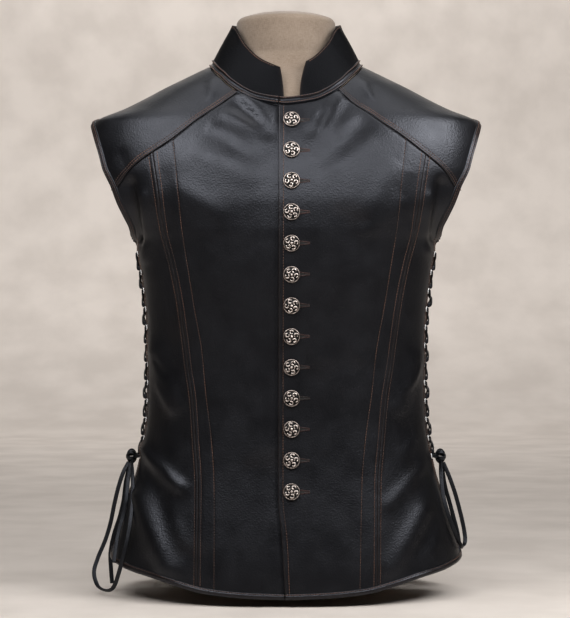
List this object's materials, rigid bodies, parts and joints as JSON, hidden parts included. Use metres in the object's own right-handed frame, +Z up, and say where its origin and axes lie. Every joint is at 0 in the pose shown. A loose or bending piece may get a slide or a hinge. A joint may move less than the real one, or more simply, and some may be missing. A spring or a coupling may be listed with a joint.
{
  "type": "medieval leather vest on a limbless dress form",
  "caption": "Sleeveless leather vest with a stand collar, buttoned down the front and laced at both sides, worn by a limbless dress form that stands on a flat base.",
  "frame": {"origin": "middle of the dress form's flat base", "axes": "+Z up, the vest's front faces -Y, and the wearer's left side is at +X"},
  "size_m": [0.5058, 0.3035, 0.748],
  "materials": {
    "black_leather": "smooth, semi-gloss",
    "black_leather_trim": "smooth, semi-gloss",
    "antique_pewter": "aged, dark in the recesses",
    "black_thong": "satin",
    "beige_linen": "matt woven cover"
  },
  "bodies": {
    "root": {"front_left": "black_leather", "front_right": "black_leather", "side_left": "black_leather", "side_right": "black_leather", "back": "black_leather", "yoke_left": "black_leather", "yoke_right": "black_leather", "collar": "black_leather", "neck_band": "black_leather_trim", "armhole_band_left": "black_leather_trim", "armhole_band_right": "black_leather_trim", "hem_binding_left": "black_leather_trim", "hem_binding_right": "black_leather_trim", "hem_binding_back": "black_leather_trim", "button_01": "antique_pewter", "button_02": "antique_pewter", "button_03": "antique_pewter", "button_04": "antique_pewter", "button_05": "antique_pewter", "button_06": "antique_pewter", "button_07": "antique_pewter", "button_08": "antique_pewter", "button_09": "antique_pewter", "button_10": "antique_pewter", "button_11": "antique_pewter", "button_12": "antique_pewter", "button_13": "antique_pewter", "lace_left_a": "black_thong", "lace_left_b": "black_thong", "lace_right_a": "black_thong", "lace_right_b": "black_thong", "knot_left": "black_thong", "knot_right": "black_thong", "bow_loop_right": "black_thong", "bow_tail_right": "black_thong", "bow_tail_right_short": "black_thong", "bow_loop_left": "black_thong", "bow_tail_left": "black_thong", "dress_form": "beige_linen"}
  },
  "joints": []
}
